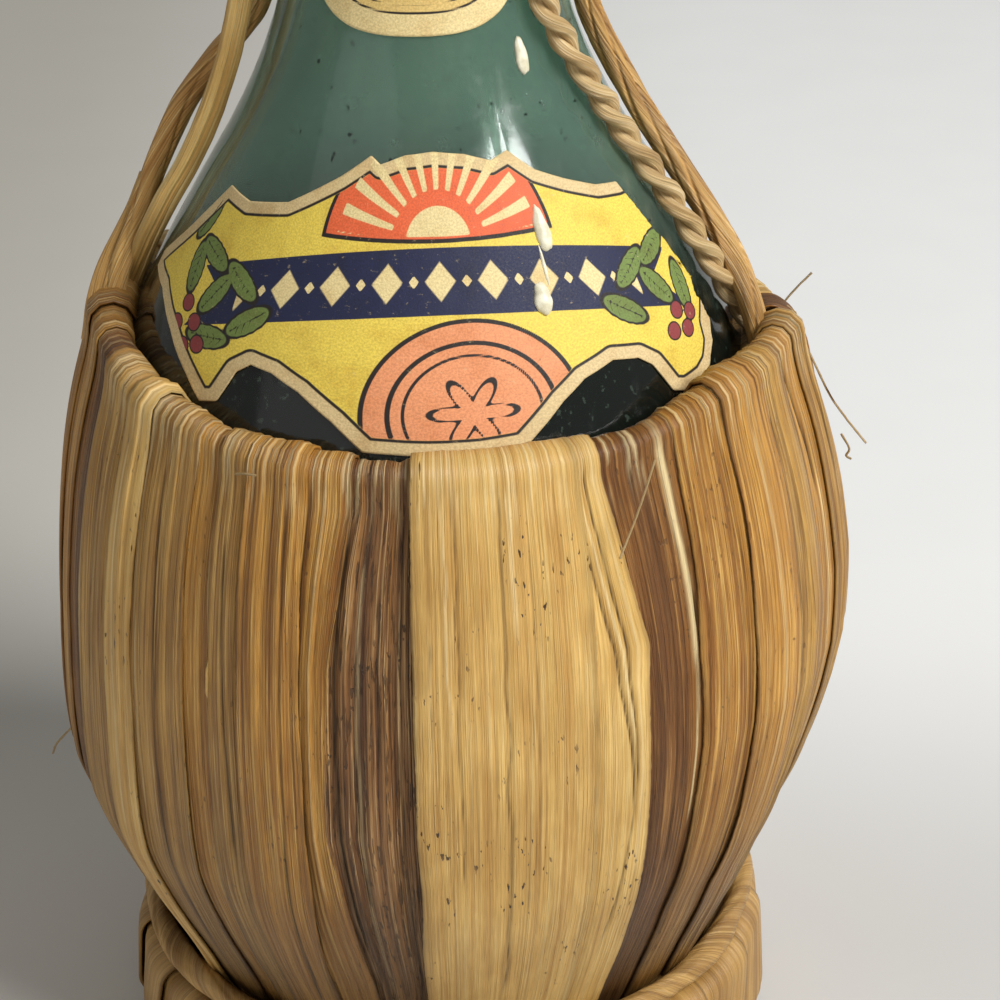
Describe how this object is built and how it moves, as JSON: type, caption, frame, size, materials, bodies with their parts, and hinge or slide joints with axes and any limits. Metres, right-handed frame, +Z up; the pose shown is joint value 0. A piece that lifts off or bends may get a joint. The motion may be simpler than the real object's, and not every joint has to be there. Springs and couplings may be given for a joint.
{
  "type": "chianti fiasco bottle",
  "caption": "Round-bellied green glass wine flask in a basket of lapped straw strips, with a wound straw foot ring, twisted straw stays, a bound neck and a pull-out cork.",
  "frame": {"origin": "centre of the foot ring's underside, on the ground", "axes": "+Z up along the bottle's neck; the front label faces -Y; the twisted stays are at -X and +X"},
  "size_m": [0.1201, 0.1208, 0.302],
  "materials": {
    "glass": "dusty blue-green bottle glass",
    "cork": "natural cork",
    "front_label": "old printed label paper, matt",
    "neck_label": "old gold-tan label paper, matt",
    "straw_pale": "pale dried straw, satin",
    "straw_gold": "golden dried straw, satin",
    "straw_tan": "tan dried straw, satin",
    "straw_brown": "brown dried straw, satin",
    "straw_dark": "dark brown dried straw, satin",
    "foot_straw": "wound straw ribbon, satin",
    "stay_pale": "twisted pale straw",
    "stay_tan": "twisted tan straw",
    "stay_brown": "twisted brown straw"
  },
  "bodies": {
    "root": {"bottle_glass": "glass", "front_label": "front_label", "neck_label": "neck_label", "rim_hoop": "straw_tan", "waist_band": "straw_gold", "foot_core": "straw_tan", "foot_wrap": "foot_straw", "base_gather": "straw_tan", "stay_left_flat": "stay_pale", "stay_left_twisted": "stay_brown", "stay_right_rope": "stay_pale", "stay_right_twisted": "stay_tan", "neck_winding": "stay_tan", "straw_strip_01": "straw_tan", "straw_strip_02": "straw_pale", "straw_strip_03": "straw_tan", "straw_strip_04": "straw_gold", "straw_strip_05": "straw_tan", "straw_strip_06": "straw_gold", "straw_strip_07": "straw_gold", "straw_strip_08": "straw_dark", "straw_strip_09": "straw_pale", "straw_strip_10": "straw_pale", "straw_strip_11": "straw_brown", "straw_strip_12": "straw_gold", "straw_strip_13": "straw_gold", "straw_strip_14": "straw_tan", "straw_strip_15": "straw_gold", "straw_strip_16": "straw_tan", "straw_strip_17": "straw_tan", "straw_strip_18": "straw_pale", "straw_strip_19": "straw_pale", "straw_strip_20": "straw_tan", "straw_strip_21": "straw_gold", "straw_strip_22": "straw_gold", "straw_strip_23": "straw_brown", "straw_strip_24": "straw_tan", "straw_strip_25": "straw_pale", "straw_strip_26": "straw_pale", "straw_strip_27": "straw_tan", "straw_strip_28": "straw_gold", "straw_strip_29": "straw_gold", "straw_strip_30": "straw_brown", "straw_strip_31": "straw_tan", "straw_strip_32": "straw_pale", "straw_strip_33": "straw_pale", "straw_strip_34": "straw_tan", "straw_strip_35": "straw_gold", "straw_strip_36": "straw_gold", "straw_strip_37": "straw_brown"},
    "cork": {"cork": "cork"}
  },
  "joints": [
    {"name": "cork_pull", "type": "slide", "parent": "root", "child": "cork", "axis": [0, 0, 1], "range_m": [0, 0.04]}
  ]
}
